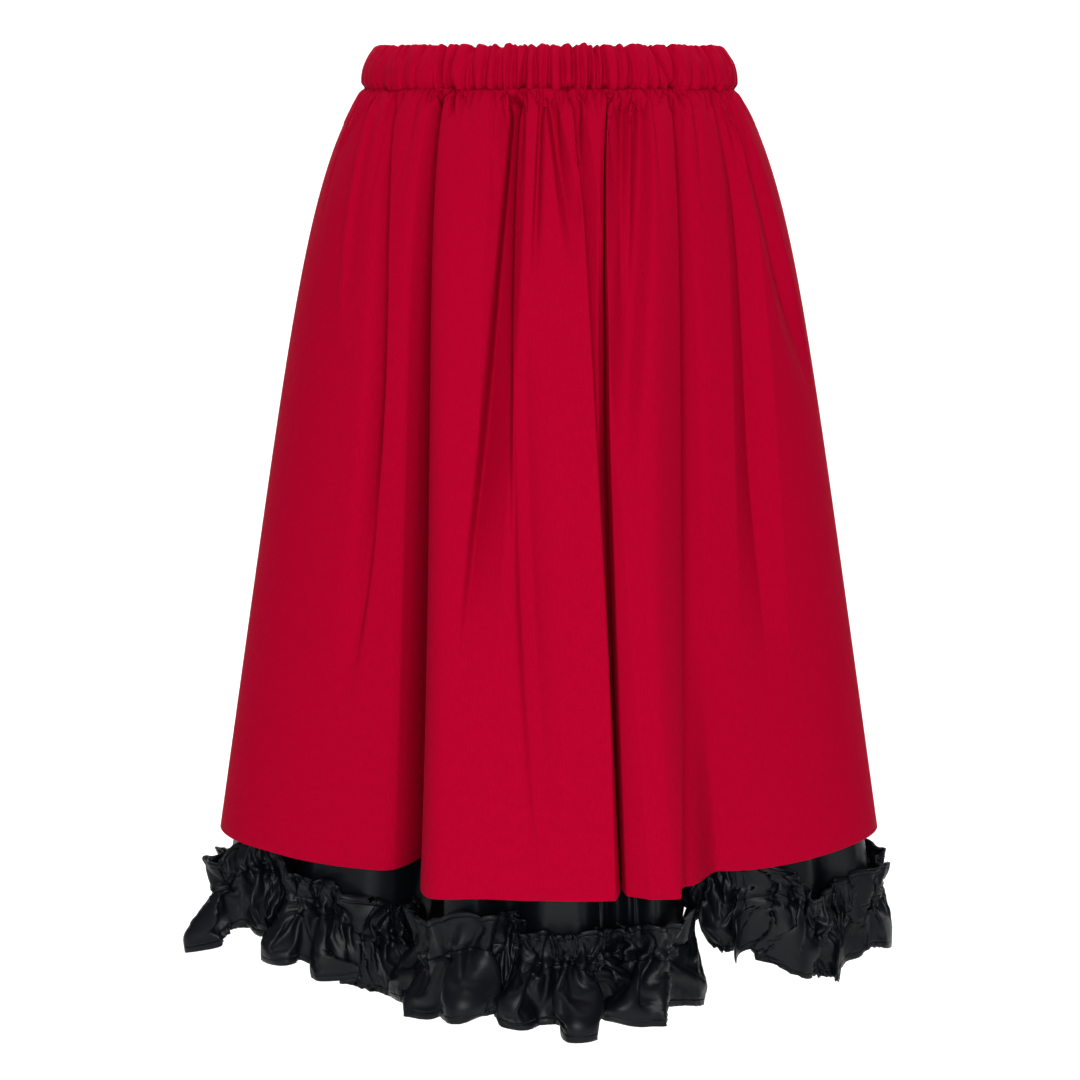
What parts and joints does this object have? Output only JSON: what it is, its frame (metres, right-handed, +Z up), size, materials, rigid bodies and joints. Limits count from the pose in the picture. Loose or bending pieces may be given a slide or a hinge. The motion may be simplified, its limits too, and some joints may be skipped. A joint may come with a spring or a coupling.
{
  "type": "gathered midi skirt",
  "caption": "Gathered midi skirt in its worn, filled-out form, with an elasticated waist casing and a longer underskirt edged with a headed ruffle.",
  "frame": {"origin": "middle of the waist seam, where the wearer's waist holds the skirt", "axes": "+Z up out of the waist, -Y the front, +X the wearer's left side"},
  "size_m": [0.5594, 0.3768, 0.6941],
  "materials": {
    "waistband_cloth": "matte wool gabardine, gathered",
    "skirt_cloth": "smooth wool gabardine, soft sheen",
    "underskirt_cloth": "polyester satin, soft gloss",
    "ruffle_cloth": "polyester satin, crumpled, soft gloss"
  },
  "bodies": {
    "root": {"waistband_front": "waistband_cloth", "waistband_back": "waistband_cloth", "skirt_front": "skirt_cloth", "skirt_back": "skirt_cloth", "underskirt_front": "underskirt_cloth", "underskirt_back": "underskirt_cloth", "ruffle_front": "ruffle_cloth", "ruffle_back": "ruffle_cloth"}
  },
  "joints": []
}
